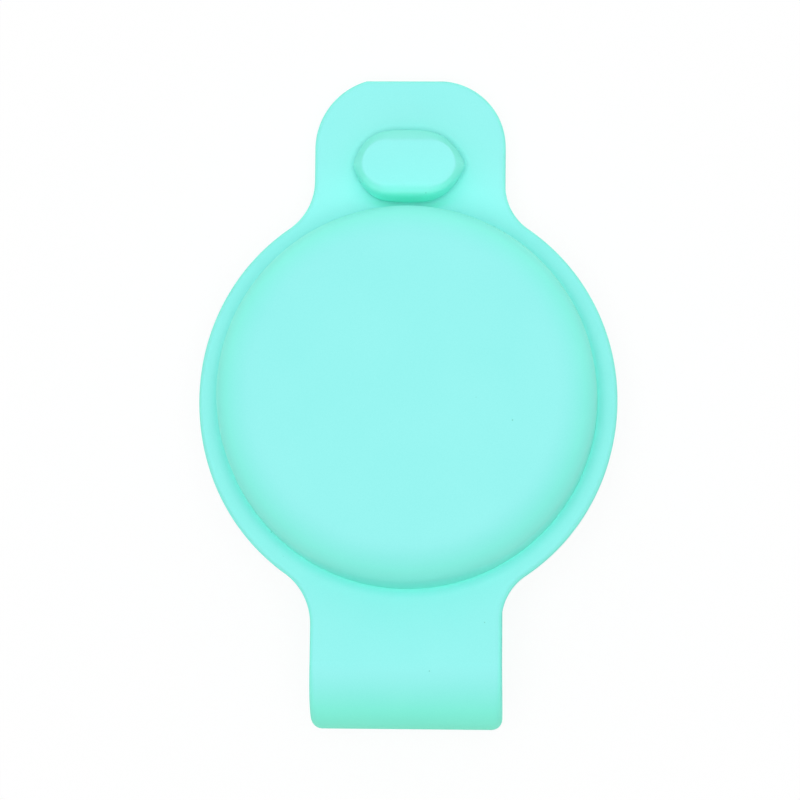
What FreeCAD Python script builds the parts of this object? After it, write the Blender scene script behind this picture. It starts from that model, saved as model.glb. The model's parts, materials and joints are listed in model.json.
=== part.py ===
import FreeCAD
import Part
import Sketcher
import math
import os
import re

from FreeCAD import Placement, Rotation, Vector

# Driving dimensions, in millimetres, and degrees where the name says angle.
# Every piece is drawn in the pouch's own frame: X across, Y towards the tab, Z out of the dome,
# with zero at the middle of the flange's front face.
driving_sizes = {
    # silicone moulding
    "silicone_wall": 1.3,
    "pocket_clearance": 0.1,
    "crown_radius": 150.0,
    "shoulder_round": 3.8,
    "crease_round": 0.4,
    "flange_width": 2.05,
    "strap_thickness": 2.0,
    "edge_round": 0.8,
    "neck_round": 5.0,
    "tab_width": 17.75,
    "tab_margin": 4.95,
    "tab_corner": 6.3,
    "lip_thickness": 1.5,
    "lip_round": 0.4,
    "lip_margin": 0.4,
    "strap_width": 17.62,
    "strap_run": 4.72,
    "fold_radius": 6.0,
    "knee_radius": 12.0,
    "pad_lead": 2.75,
    "pad_inset": 1.9,
    "pad_corner": 5.0,
    "stud_gap": 1.12,
    "head_length": 10.2,
    "head_width": 6.5,
    "head_overhang": 1.6,
    "head_rim": 0.3,
    "head_rise": 1.6,
    "head_taper_length": 0.7,
    "head_taper_width": 0.95,
    "head_tip_round": 3.5,
    "head_edge_round": 0.4,
    "hole_clearance": 0.15,
    # tag casing
    "ring_land": 3.2,
    "shell_wall": 1.0,
    "shell_roof": 1.2,
    "shell_chamfer": 1.2,
    "shell_clearance": 0.1,
    "ring_round": 1.2,
    "ring_height": 1.4,
    "spigot_wall": 1.3,
    "ledge_thickness": 0.6,
    # battery cover and its bayonet
    "cell_room": 1.4,
    "cover_thickness": 0.4,
    "cover_crown": 0.3,
    "cover_clearance": 0.2,
    "skirt_inset": 0.7,
    "skirt_wall": 0.5,
    "skirt_clearance": 0.15,
    "bayonet_reach": 0.7,
    "bayonet_thickness": 0.6,
    "bayonet_gap": 0.05,
    "bayonet_clearance": 0.15,
    "bayonet_angle": 20.0,
    "notch_angle": 24.0,
    "twist_angle": 30.0,
    "bayonet_count": 3,
    "seal_thickness": 0.2,
    "seal_margin": 0.1,
    # battery, board and sounder
    "cell_diameter": 20.0,
    "cell_thickness": 3.2,
    "cell_gap": 0.1,
    "cell_cap_step": 0.3,
    "cell_cap_margin": 1.0,
    "cell_cap_slope": 0.3,
    "contact_gap": 0.8,
    "contact_thickness": 0.15,
    "contact_width": 3.0,
    "clip_foot": 1.4,
    "board_thickness": 0.8,
    "board_inset": 0.5,
    "component_space": 0.75,
    "plate_diameter": 15.0,
    "plate_thickness": 0.25,
    "plate_land": 2.5,
    "ceramic_thickness": 0.2,
    "pin_diameter": 0.8,
    # cuts run this far past what they cut
    "overrun": 1.0,
}

# Places and sizes on the board as shares of its radius: across, along, length, width.
component_shares = {
    "radio_chip": (0.42, 0.45, 0.34, 0.34),
    "memory_chip": (0.30, -0.52, 0.28, 0.20),
    "motion_sensor": (-0.50, -0.42, 0.15, 0.15),
    "clock_crystal": (-0.34, 0.50, 0.22, 0.16),
    "supply_capacitor": (-0.66, 0.12, 0.11, 0.20),
}
component_height_share = 0.8
leaf_shares = {"foot_end": -0.62, "foot_start": -0.42, "touch_start": -0.1, "touch_end": 0.2}
clip_reach_share = 0.7
plate_pin_share = 0.54
ceramic_pin_share = 0.6

# Numbers closer than this count as the same place when edges are picked.
same_place = 0.001

doc = FreeCAD.newDocument("tracker_tag_holder")
sheet = doc.addObject("Spreadsheet::Sheet", "sizes")
for row, (alias, number) in enumerate(driving_sizes.items(), start=1):
    sheet.set(f"A{row}", alias)
    sheet.set(f"B{row}", str(number))
    sheet.setAlias(f"B{row}", alias)
doc.recompute()


def linked(expression):
    """The expression with each size name read from the sheet."""

    def from_sheet(found):
        word = found.group()
        return f"sizes.{word}" if word in driving_sizes else word

    return re.sub(r"[a-z_]+", from_sheet, expression)


def value(expression):
    """What an expression in size names comes to now."""
    result = sheet.evalExpression(linked(expression))
    return float(getattr(result, "Value", result))


# The tag grows outwards from its cell: battery cover, the ring that seats it, and the casing's edge.
cell_radius = "(cell_diameter / 2)"
skirt_radius = f"({cell_radius} + cell_room + skirt_wall)"
cover_radius = f"({skirt_radius} + skirt_inset)"
seat_radius = f"({cover_radius} + cover_clearance)"
tag_radius = f"({seat_radius} + ring_land)"
plate_radius = "(plate_diameter / 2)"
ceramic_radius = f"({plate_radius} - plate_land)"

# Sizes of the moulding that follow from the tag and the driving sizes.
dome_radius = f"({tag_radius} + pocket_clearance + silicone_wall)"
flange_radius = f"({dome_radius} + flange_width)"
fold_start = f"({flange_radius} + strap_run)"
fold_inner = "(fold_radius - strap_thickness)"
stud_reach = f"({dome_radius} + stud_gap + head_width / 2)"
tab_reach = f"({stud_reach} + head_width / 2 + tab_margin)"
pad_start = f"({stud_reach} - head_width / 2 - pad_lead)"
pad_reach = f"({tab_reach} - pad_inset)"
neck_length = "(head_length - 2 * head_overhang)"
neck_width = "(head_width - 2 * head_overhang)"

# Levels of the tag's stack, from its back ring up to the dome.
ring_back = "(lip_thickness + pocket_clearance - strap_thickness)"
cover_front = f"({ring_back} + cover_thickness)"
cell_back = f"({cover_front} + cell_gap)"
cell_front = f"({cell_back} + cell_thickness)"
board_back = f"({cell_front} + contact_gap)"
board_front = f"({board_back} + board_thickness)"
ceramic_back = f"({board_front} + component_space)"
plate_back = f"({ceramic_back} + ceramic_thickness)"
ceiling = f"({plate_back} + plate_thickness)"
tag_front = f"({ceiling} + shell_roof)"
dome_top = f"({tag_front} + pocket_clearance + silicone_wall)"

# The strap leaves the fold on the crossed tangent of the fold's and the knee's middle lines.
knee_across = f"({pad_start} + {fold_start})"
knee_down = "(fold_radius - 1.5 * strap_thickness - knee_radius)"
knee_distance = f"sqrt({knee_across}^2 + {knee_down}^2)"
bends = "(fold_radius - strap_thickness / 2 + knee_radius)"
strap_slope = f"(atan2({knee_down}; {knee_across}) + asin({bends} / {knee_distance}))"

# The holder lies on the fold's underside and the pad's rounded end, which sets the pouch's tilt.
rest_across = f"({pad_reach} - edge_round + {fold_start})"
rest_up = "(fold_radius - 2 * strap_thickness + edge_round)"
rest_distance = f"sqrt({rest_across}^2 + {rest_up}^2)"
tilt = f"(atan2({rest_up}; {rest_across}) + asin((fold_radius - edge_round) / {rest_distance}))"
lift = f"(fold_radius + fold_radius * cos{tilt} - {fold_start} * sin{tilt})"
far_end = f"(({tab_reach} - edge_round) * cos{tilt} - edge_round * sin{tilt} + edge_round)"
near_end = f"({fold_start} * cos{tilt} + fold_radius * sin{tilt} + fold_radius)"
centring = f"(({near_end} - {far_end}) / 2)"


def new_body(label):
    body = doc.addObject("PartDesign::Body", label)
    body.Label = label
    return body


def origin_feature(body, role):
    return next(feature for feature in body.Origin.OriginFeatures if feature.Role == role)


def new_sketch(body, name, role, offset=None, along=None):
    """Sketch on an origin plane, moved off it by offset and along its own Y by along."""
    sketch = body.newObject("Sketcher::SketchObject", name)
    sketch.AttachmentSupport = [(origin_feature(body, role), "")]
    sketch.MapMode = "FlatFace"
    if offset:
        sketch.setExpression(".AttachmentOffset.Base.z", linked(offset))
    if along:
        sketch.setExpression(".AttachmentOffset.Base.y", linked(along))
    return sketch


def bind(sketch, constraint, expression):
    index = sketch.addConstraint(constraint)
    sketch.setExpression(f"Constraints[{index}]", linked(expression))


def pin_point(sketch, edge, end, across, up):
    """Holds one end of an edge at two sizes from the sketch's origin."""
    for kind, axis, expression in (("DistanceX", -2, across), ("DistanceY", -1, up)):
        number = value(expression)
        if abs(number) < same_place:
            sketch.addConstraint(Sketcher.Constraint("PointOnObject", edge, end, axis))
        elif number > 0:
            bind(sketch, Sketcher.Constraint(kind, -1, 1, edge, end, number), expression)
        else:
            bind(sketch, Sketcher.Constraint(kind, edge, end, -1, 1, -number), f"-({expression})")


def arc_between(start, end, radius, turns_left):
    """Arc under half a circle; its centre lies left of the way from start to end, or right."""
    chord = end - start
    half = chord.Length / 2
    sagitta = radius - math.sqrt(radius**2 - half**2)
    right = Vector(chord.y, -chord.x, 0).normalize()
    bulge = right if turns_left else -right
    return Part.Arc(start, (start + end) / 2 + bulge * sagitta, end)


def outline(sketch, corners, left_arcs=None, right_arcs=None):
    """Closed outline through corners; the arcs give a radius for the edges that aren't straight."""
    arcs = {**(left_arcs or {}), **(right_arcs or {})}
    points = [Vector(value(across), value(up), 0) for across, up in corners]
    starts = []
    for index, start in enumerate(points):
        end = points[(index + 1) % len(points)]
        if index in arcs:
            turns_left = index in (left_arcs or {})
            curve = arc_between(start, end, value(arcs[index]), turns_left)
        else:
            curve = Part.LineSegment(start, end)
        edge = sketch.addGeometry(curve)
        starts.append((edge, 1 if sketch.getPoint(edge, 1).distanceToPoint(start) < same_place else 2))
    for index, (edge, start_end) in enumerate(starts):
        next_edge, next_end = starts[(index + 1) % len(starts)]
        sketch.addConstraint(Sketcher.Constraint("Coincident", edge, 3 - start_end, next_edge, next_end))
        pin_point(sketch, edge, start_end, *corners[index])
        if index in arcs:
            bind(sketch, Sketcher.Constraint("Radius", edge, value(arcs[index])), arcs[index])


def circle(sketch, radius):
    edge = sketch.addGeometry(Part.Circle(Vector(), Vector(0, 0, 1), value(radius)))
    sketch.addConstraint(Sketcher.Constraint("Coincident", edge, 3, -1, 1))
    bind(sketch, Sketcher.Constraint("Radius", edge, value(radius)), radius)


def box_corners(left, right, bottom, top):
    return [(left, bottom), (right, bottom), (right, top), (left, top)]


def add_pad(body, name, sketch, length, side="One side", downwards=False):
    pad = body.newObject("PartDesign::Pad", name)
    pad.Profile = sketch
    pad.SideType = side
    pad.Reversed = downwards
    pad.setExpression("Length", linked(length))
    return pad


def add_turn(body, kind, name, sketch, axis="V_Axis", angle=None):
    """Revolution or groove of a sketch, a full turn, or centred on its sketch with an angle."""
    turn = body.newObject(f"PartDesign::{kind}", name)
    turn.Profile = sketch
    turn.ReferenceAxis = (sketch, [axis])
    if angle:
        turn.Midplane = True
        turn.setExpression("Angle", linked(angle))
    return turn


def add_fillet(body, name, radius, wanted):
    """Rounds the edges of the body so far that the test wants."""
    doc.recompute()
    base = body.Tip
    names = [f"Edge{number}" for number, edge in enumerate(base.Shape.Edges, 1) if wanted(edge)]
    fillet = body.newObject("PartDesign::Fillet", name)
    fillet.Base = (base, names)
    fillet.setExpression("Radius", linked(radius))
    return fillet


def is_upright(edge):
    box = edge.BoundBox
    return box.XLength < same_place and box.YLength < same_place


def is_at(number, expression):
    return abs(number - value(expression)) < same_place


def is_ring(edge, radius, height):
    """True for a round edge about the pouch's axis with this radius and height."""
    if edge.Degenerated or not isinstance(edge.Curve, Part.Circle):
        return False
    return is_at(edge.Curve.Radius, radius) and is_at(edge.Curve.Center.z, height)


def cap_profile(inset):
    """The dome's side: upright wall, rounded shoulder and slightly convex crown, set in by a wall."""
    shoulder_middle = f"({dome_radius} - shoulder_round)"
    centre_distance = "(crown_radius - shoulder_round)"
    rise = f"sqrt({centre_distance}^2 - {shoulder_middle}^2)"
    crown = f"(crown_radius - {inset})"
    corners = [
        (f"{dome_radius} - {inset}", f"{dome_top} - crown_radius + {rise}"),
        (
            f"{crown} * {shoulder_middle} / {centre_distance}",
            f"{dome_top} - crown_radius + {crown} * {rise} / {centre_distance}",
        ),
        ("0", f"{dome_top} - {inset}"),
    ]
    return corners, [f"shoulder_round - {inset}", crown]


def obround(length, width):
    """Slot outline: two straight sides and round ends."""
    straight = f"({length} - {width}) / 2"
    corners = [
        (straight, f"-{width} / 2"),
        (f"{length} / 2", "0"),
        (straight, f"{width} / 2"),
        (f"-({straight})", f"{width} / 2"),
        (f"-{length} / 2", "0"),
        (f"-({straight})", f"-{width} / 2"),
    ]
    return corners, {edge: f"{width} / 2" for edge in (0, 1, 3, 4)}


def lens(length, width, straight, tip_round):
    """Oval with six edges as an obround has, bowed sides and slightly pointed ends."""
    side = f"({width} / 2 * sqrt(1 - (2 * {straight} / {length})^2))"
    bow = f"({width} / 2 - {side})"
    side_round = f"({straight}^2 + {bow}^2) / (2 * {bow})"
    corners = [
        (straight, f"-{side}"),
        (f"{length} / 2", "0"),
        (straight, side),
        (f"-{straight}", side),
        (f"-{length} / 2", "0"),
        (f"-{straight}", f"-{side}"),
    ]
    arcs = {edge: tip_round for edge in (0, 1, 3, 4)}
    arcs.update({edge: side_round for edge in (2, 5)})
    return corners, arcs


def pattern_round(body, name, feature):
    """Repeats a feature about the pouch's axis, once for each bayonet tab."""
    pattern = body.newObject("PartDesign::PolarPattern", name)
    pattern.Originals = [feature]
    pattern.Axis = (origin_feature(body, "Z_Axis"), [""])
    pattern.Angle = 360
    pattern.setExpression("Occurrences", linked("bayonet_count"))
    body.Tip = pattern
    return pattern


def turned_piece(label, corners, left_arcs=None):
    """A piece turned about the pouch's axis from one profile of radius and height."""
    body = new_body(label)
    profile = new_sketch(body, f"{label}_profile", "XZ_Plane")
    outline(profile, corners, left_arcs)
    add_turn(body, "Revolution", f"{label}_turned", profile)
    return body


def group(label, pieces):
    """Several separate solids under one name."""
    compound = doc.addObject("Part::Compound", label)
    compound.Label = label
    compound.Links = pieces
    return compound


def make_pouch_body():
    """Flat plate of flange, tab and front strap, with the hollow dome moulded on it."""
    body = new_body("pouch_body")
    flange = new_sketch(body, "flange_outline", "XY_Plane")
    circle(flange, flange_radius)
    add_pad(body, "flange_plate", flange, "strap_thickness", downwards=True)
    tab = new_sketch(body, "tab_outline", "XY_Plane")
    outline(tab, box_corners("-tab_width / 2", "tab_width / 2", "0", tab_reach))
    add_pad(body, "tab_plate", tab, "strap_thickness", downwards=True)
    strap = new_sketch(body, "strap_outline", "XY_Plane")
    outline(strap, box_corners("-strap_width / 2", "strap_width / 2", f"-{fold_start}", "0"))
    add_pad(body, "strap_plate", strap, "strap_thickness", downwards=True)

    def is_neck(edge):
        x, y, z = edge.CenterOfMass
        widths = ("tab_width / 2", "strap_width / 2")
        return is_upright(edge) and any(is_at(abs(x), width) for width in widths) and is_at(
            math.hypot(x, y), flange_radius
        )

    add_fillet(body, "neck_rounds", "neck_round", is_neck)
    add_fillet(
        body,
        "tab_corners",
        "tab_corner",
        lambda edge: is_upright(edge) and is_at(edge.CenterOfMass.y, tab_reach),
    )
    add_fillet(
        body,
        "edge_rounds",
        "edge_round",
        lambda edge: not is_upright(edge) and not is_at(edge.CenterOfMass.y, f"-{fold_start}"),
    )

    dome = new_sketch(body, "dome_profile", "XZ_Plane")
    cap, radii = cap_profile("0")
    outline(dome, [("0", "0"), (dome_radius, "0")] + cap, {2: radii[0], 3: radii[1]})
    add_turn(body, "Revolution", "dome", dome)
    add_fillet(body, "dome_crease", "crease_round", lambda edge: is_ring(edge, dome_radius, "0"))

    pocket = new_sketch(body, "pocket_profile", "XZ_Plane")
    cap, radii = cap_profile("silicone_wall")
    lip_front = "(lip_thickness - strap_thickness)"
    lip_radius = f"({seat_radius} + lip_margin)"
    below = "-(strap_thickness + overrun)"
    corners = [
        ("0", below),
        (lip_radius, below),
        (lip_radius, lip_front),
        (f"{dome_radius} - silicone_wall", lip_front),
    ]
    outline(pocket, corners + cap, {4: radii[0], 5: radii[1]})
    add_turn(body, "Groove", "tag_pocket", pocket)
    add_fillet(
        body, "lip_rounds", "lip_round", lambda edge: is_ring(edge, lip_radius, "-strap_thickness")
    )

    buttonhole = new_sketch(body, "buttonhole_outline", "XY_Plane", along=stud_reach)
    outline(
        buttonhole,
        *obround(f"({neck_length} + 2 * hole_clearance)", f"({neck_width} + 2 * hole_clearance)"),
    )
    cut = body.newObject("PartDesign::Pocket", "buttonhole")
    cut.Profile = buttonhole
    cut.setExpression("Length", linked("strap_thickness + overrun"))
    return body


def make_fold_band():
    """The strap's section carried round the fold, past the half turn by the strap's slope."""
    body = new_body("fold_band")
    section = new_sketch(body, "strap_section", "XZ_Plane", offset=fold_start)
    half = "strap_width / 2"
    inner_half = "(strap_width / 2 - edge_round)"
    low = "(edge_round - strap_thickness)"
    corners = [
        (f"-{inner_half}", "-strap_thickness"),
        (inner_half, "-strap_thickness"),
        (half, low),
        (half, "-edge_round"),
        (inner_half, "0"),
        (f"-{inner_half}", "0"),
        (f"-{half}", "-edge_round"),
        (f"-{half}", low),
    ]
    outline(section, corners, {edge: "edge_round" for edge in (1, 3, 5, 7)})
    ends = [Vector(value(side), -value("fold_radius"), 0) for side in (f"-{half}", half)]
    axis = sketch_axis(section, ends)
    bend = body.newObject("PartDesign::Revolution", "bend")
    bend.Profile = section
    bend.ReferenceAxis = (section, [axis])
    bend.setExpression("Angle", linked(f"180 deg + {strap_slope}"))
    return body


def sketch_axis(sketch, ends):
    """Construction line across the sketch, as deep as the fold's centre."""
    line = sketch.addGeometry(Part.LineSegment(*ends), True)
    for end, side in ((1, "-strap_width / 2"), (2, "strap_width / 2")):
        pin_point(sketch, line, end, side, "-fold_radius")
    return "Axis0"


def make_back_strap():
    """Side view of the sloped run, the knee and the end pad, as wide as the strap."""
    body = new_body("back_strap")
    side = new_sketch(body, "strap_side", "YZ_Plane")
    knee_height = "(1.5 * strap_thickness + knee_radius)"
    outer_knee = "(knee_radius + strap_thickness / 2)"
    inner_knee = "(knee_radius - strap_thickness / 2)"

    def fold_end(radius):
        return (f"{radius} * sin{strap_slope} - {fold_start}", f"-fold_radius - {radius} * cos{strap_slope}")

    def knee_end(radius):
        return (f"{pad_start} - {radius} * sin{strap_slope}", f"{radius} * cos{strap_slope} - {knee_height}")

    corners = [
        fold_end("fold_radius"),
        knee_end(inner_knee),
        (pad_start, "-2 * strap_thickness"),
        (pad_reach, "-2 * strap_thickness"),
        (pad_reach, "-strap_thickness"),
        (pad_start, "-strap_thickness"),
        knee_end(outer_knee),
        fold_end(fold_inner),
    ]
    outline(side, corners, {5: outer_knee}, {1: inner_knee})
    add_pad(body, "strap_run", side, "strap_width", side="Symmetric")
    add_fillet(
        body,
        "pad_corners",
        "pad_corner",
        lambda edge: is_upright(edge) and is_at(edge.CenterOfMass.y, pad_reach),
    )
    slope = math.radians(value(strap_slope))
    run_direction = Vector(0, math.cos(slope), math.sin(slope))
    fold_centre = Vector(0, -value(fold_start), -value("fold_radius"))

    def on_outline(edge):
        off_fold = [abs((vertex.Point - fold_centre) * run_direction) for vertex in edge.Vertexes]
        return not is_upright(edge) and max(off_fold) > same_place

    add_fillet(body, "edge_rounds", "edge_round", on_outline)
    return body


def make_button_stud():
    """Neck through the buttonhole and an oval head whose walls slope in to a smaller flat top."""
    body = new_body("button_stud")
    neck = new_sketch(body, "neck_outline", "XY_Plane", offset="-strap_thickness", along=stud_reach)
    outline(neck, *obround(neck_length, neck_width))
    add_pad(body, "neck", neck, "strap_thickness")
    top_length = "(head_length - 2 * head_taper_length)"
    top_width = "(head_width - 2 * head_taper_width)"
    oval = lens("head_length", "head_width", f"(({top_length} - {top_width}) / 2)", "head_tip_round")
    underside = new_sketch(body, "head_underside", "XY_Plane", along=stud_reach)
    outline(underside, *oval)
    add_pad(body, "head_rim", underside, "head_rim")
    shoulder = new_sketch(body, "head_shoulder", "XY_Plane", offset="head_rim", along=stud_reach)
    outline(shoulder, *oval)
    top_height = "(head_rim + head_rise)"
    top = new_sketch(body, "head_top", "XY_Plane", offset=top_height, along=stud_reach)
    outline(top, *obround(top_length, top_width))
    head = body.newObject("PartDesign::AdditiveLoft", "head")
    head.Profile = shoulder
    head.Sections = [top]
    head.Ruled = True
    add_fillet(
        body,
        "head_edges",
        "head_edge_round",
        lambda edge: is_at(edge.BoundBox.ZMin, top_height) and is_at(edge.BoundBox.ZMax, top_height),
    )
    return body


# The tag's casing: a domed front shell, and a back ring that plugs into it.
shell_inner = f"({tag_radius} - shell_wall)"
split = f"({ring_back} + ring_height)"
spigot = f"({shell_inner} - shell_clearance)"
ledge_radius = f"({skirt_radius} + skirt_clearance)"
ledge_back = f"({cover_front} + seal_thickness)"
ledge_front = f"({ledge_back} + ledge_thickness)"
bayonet_back = f"({ledge_front} + bayonet_gap)"
bayonet_front = f"({bayonet_back} + bayonet_thickness)"
bayonet_radius = f"({skirt_radius} + bayonet_reach)"


def make_tag_front_shell():
    cap, radii = cap_profile("(silicone_wall + pocket_clearance)")
    corners = [(shell_inner, split), (tag_radius, split)] + cap
    corners += [
        ("0", ceiling),
        (f"{shell_inner} - shell_chamfer", ceiling),
        (shell_inner, f"{ceiling} - shell_chamfer"),
    ]
    return turned_piece("tag_front_shell", corners, {2: radii[0], 3: radii[1]})


def make_tag_back_ring():
    """Back ring with the cover's seat, the bayonet ledge, its notches and the spigot under the board."""
    corners = [
        (seat_radius, ring_back),
        (f"{tag_radius} - ring_round", ring_back),
        (tag_radius, f"{ring_back} + ring_round"),
        (tag_radius, split),
        (spigot, split),
        (spigot, board_back),
        (f"{spigot} - spigot_wall", board_back),
        (f"{spigot} - spigot_wall", ledge_front),
        (ledge_radius, ledge_front),
        (ledge_radius, ledge_back),
        (seat_radius, ledge_back),
    ]
    body = turned_piece("tag_back_ring", corners, {1: "ring_round"})
    notch = new_sketch(body, "notch_profile", "XZ_Plane")
    notch.AttachmentOffset = Placement(Vector(), Rotation(Vector(0, -1, 0), value("twist_angle")))
    notch.setExpression(".AttachmentOffset.Rotation.Angle", linked("twist_angle"))
    sides = (f"{ledge_radius} - skirt_clearance", f"{bayonet_radius} + bayonet_clearance")
    outline(notch, box_corners(*sides, ledge_back, ledge_front))
    cut = add_turn(body, "Groove", "notch", notch, angle="notch_angle")
    pattern_round(body, "notches", cut)
    return body


def make_tag_battery_cover():
    """Slightly crowned disc with a skirt whose tabs turn in under the back ring's ledge."""
    crown = f"({cover_radius}^2 + cover_crown^2) / (2 * cover_crown)"
    corners = [
        ("0", f"{ring_back} - cover_crown"),
        (cover_radius, ring_back),
        (cover_radius, cover_front),
        (skirt_radius, cover_front),
        (skirt_radius, bayonet_front),
        (f"{skirt_radius} - skirt_wall", bayonet_front),
        (f"{skirt_radius} - skirt_wall", cover_front),
        ("0", cover_front),
    ]
    body = turned_piece("tag_battery_cover", corners, {0: crown})
    tab = new_sketch(body, "bayonet_profile", "XZ_Plane")
    sides = (f"{skirt_radius} - skirt_wall / 2", bayonet_radius)
    outline(tab, box_corners(*sides, bayonet_back, bayonet_front))
    first = add_turn(body, "Revolution", "bayonet_tab", tab, angle="bayonet_angle")
    pattern_round(body, "bayonet_tabs", first)
    return body


def make_cover_seal():
    sides = (f"{ledge_radius} + seal_margin", f"{cover_radius} - seal_margin")
    return turned_piece("cover_seal", box_corners(*sides, cover_front, ledge_back))


def make_coin_cell():
    """Can with the smaller cap set on its front."""
    corners = [
        ("0", cell_back),
        (cell_radius, cell_back),
        (cell_radius, f"{cell_front} - cell_cap_step"),
        (f"{cell_radius} - cell_cap_margin", f"{cell_front} - cell_cap_step"),
        (f"{cell_radius} - cell_cap_margin - cell_cap_slope", cell_front),
        ("0", cell_front),
    ]
    return turned_piece("coin_cell", corners)


def make_battery_contacts():
    """A sprung leaf on the cell's cap and two clips on the can's side, all hung from the board."""
    places = {name: f"{cell_radius} * ({share})" for name, share in leaf_shares.items()}
    leaf = new_body("leaf_contact")
    strip = new_sketch(leaf, "leaf_side", "XZ_Plane")
    corners = [
        (places["foot_end"], f"{board_back} - contact_thickness"),
        (places["foot_start"], f"{board_back} - contact_thickness"),
        (places["touch_start"], cell_front),
        (places["touch_end"], cell_front),
        (places["touch_end"], f"{cell_front} + contact_thickness"),
        (places["touch_start"], f"{cell_front} + contact_thickness"),
        (places["foot_start"], board_back),
        (places["foot_end"], board_back),
    ]
    outline(strip, corners)
    add_pad(leaf, "leaf_strip", strip, "contact_width", side="Symmetric")
    pieces = [leaf]
    for name, turn in (("right_clip", 0), ("left_clip", 180)):
        clip = new_body(name)
        bent = new_sketch(clip, f"{name}_side", "XZ_Plane")
        leg = f"({cell_radius} + contact_thickness)"
        foot = f"({cell_radius} + clip_foot)"
        low = f"({board_back} - cell_thickness * {clip_reach_share} - contact_gap)"
        corners = [
            (cell_radius, low),
            (leg, low),
            (leg, f"{board_back} - contact_thickness"),
            (foot, f"{board_back} - contact_thickness"),
            (foot, board_back),
            (cell_radius, board_back),
        ]
        outline(bent, corners)
        add_pad(clip, f"{name}_strip", bent, "contact_width", side="Symmetric")
        clip.Placement = Placement(Vector(), Rotation(Vector(0, 0, 1), turn))
        pieces.append(clip)
    return group("battery_contacts", pieces)


board_radius = f"({spigot} - board_inset)"


def make_circuit_board():
    body = new_body("circuit_board")
    rim = new_sketch(body, "board_outline", "XY_Plane", offset=board_back)
    circle(rim, board_radius)
    add_pad(body, "board", rim, "board_thickness")
    return body


def make_board_components():
    pieces = []
    for name, (across, along, length, width) in component_shares.items():
        chip = doc.addObject("Part::Box", name)
        chip.setExpression("Length", linked(f"{board_radius} * {length}"))
        chip.setExpression("Width", linked(f"{board_radius} * {width}"))
        chip.setExpression("Height", linked(f"component_space * {component_height_share}"))
        chip.setExpression(".Placement.Base.x", linked(f"{board_radius} * ({across} - {length} / 2)"))
        chip.setExpression(".Placement.Base.y", linked(f"{board_radius} * ({along} - {width} / 2)"))
        chip.setExpression(".Placement.Base.z", linked(board_front))
        pieces.append(chip)
    return group("board_components", pieces)


def make_sounder_plate():
    return turned_piece("sounder_plate", box_corners("0", plate_radius, plate_back, ceiling))


def make_sounder_ceramic():
    return turned_piece("sounder_ceramic", box_corners("0", ceramic_radius, ceramic_back, plate_back))


def make_sounder_contacts():
    """Two sprung pins from the board, one to the plate and one to the ceramic."""
    pieces = []
    pins = {
        "plate_pin": (f"{plate_radius} - plate_land * {plate_pin_share}", plate_back),
        "ceramic_pin": (f"-{ceramic_radius} * {ceramic_pin_share}", ceramic_back),
    }
    for name, (across, top) in pins.items():
        pin = doc.addObject("Part::Cylinder", name)
        pin.setExpression("Radius", linked("pin_diameter / 2"))
        pin.setExpression("Height", linked(f"{top} - {board_front}"))
        pin.setExpression(".Placement.Base.x", linked(across))
        pin.setExpression(".Placement.Base.z", linked(board_front))
        pieces.append(pin)
    return group("sounder_contacts", pieces)


def lay_down(piece):
    """Tilts a piece with the pouch and sets the holder on the floor, centred on its box."""
    piece.Placement = Placement(Vector(), Rotation(Vector(-1, 0, 0), value(tilt)))
    piece.setExpression(".Placement.Rotation.Angle", linked(tilt))
    piece.setExpression(".Placement.Base.y", linked(centring))
    piece.setExpression(".Placement.Base.z", linked(lift))


pieces = [
    make_pouch_body(),
    make_fold_band(),
    make_back_strap(),
    make_button_stud(),
    make_tag_front_shell(),
    make_tag_back_ring(),
    make_tag_battery_cover(),
    make_cover_seal(),
    make_coin_cell(),
    make_battery_contacts(),
    make_circuit_board(),
    make_board_components(),
    make_sounder_plate(),
    make_sounder_ceramic(),
    make_sounder_contacts(),
]
for piece in pieces:
    lay_down(piece)
doc.recompute()

failed = [thing.Name for thing in doc.Objects if {"Invalid", "Error"} & set(thing.State)]
if failed:
    raise RuntimeError(f"not built: {failed}")
for piece in pieces:
    if piece.Shape.isNull() or not piece.Shape.isValid() or not piece.Shape.Solids:
        raise RuntimeError(f"bad shape: {piece.Label}")

os.makedirs("parts", exist_ok=True)
for piece in pieces:
    piece.Shape.exportStep(f"parts/{piece.Label}.step")
    box = piece.Shape.BoundBox
    print(f"{piece.Label}: {len(piece.Shape.Solids)} solid, {piece.Shape.Volume:.1f} mm3, {box}")
for name, expression in (("tilt", tilt), ("slope", strap_slope), ("lift", lift), ("centring", centring)):
    print(f"{name} {value(expression):.4f}")
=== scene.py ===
import json
import math

import bmesh
import bpy
import numpy as np
from mathutils import Matrix


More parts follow.
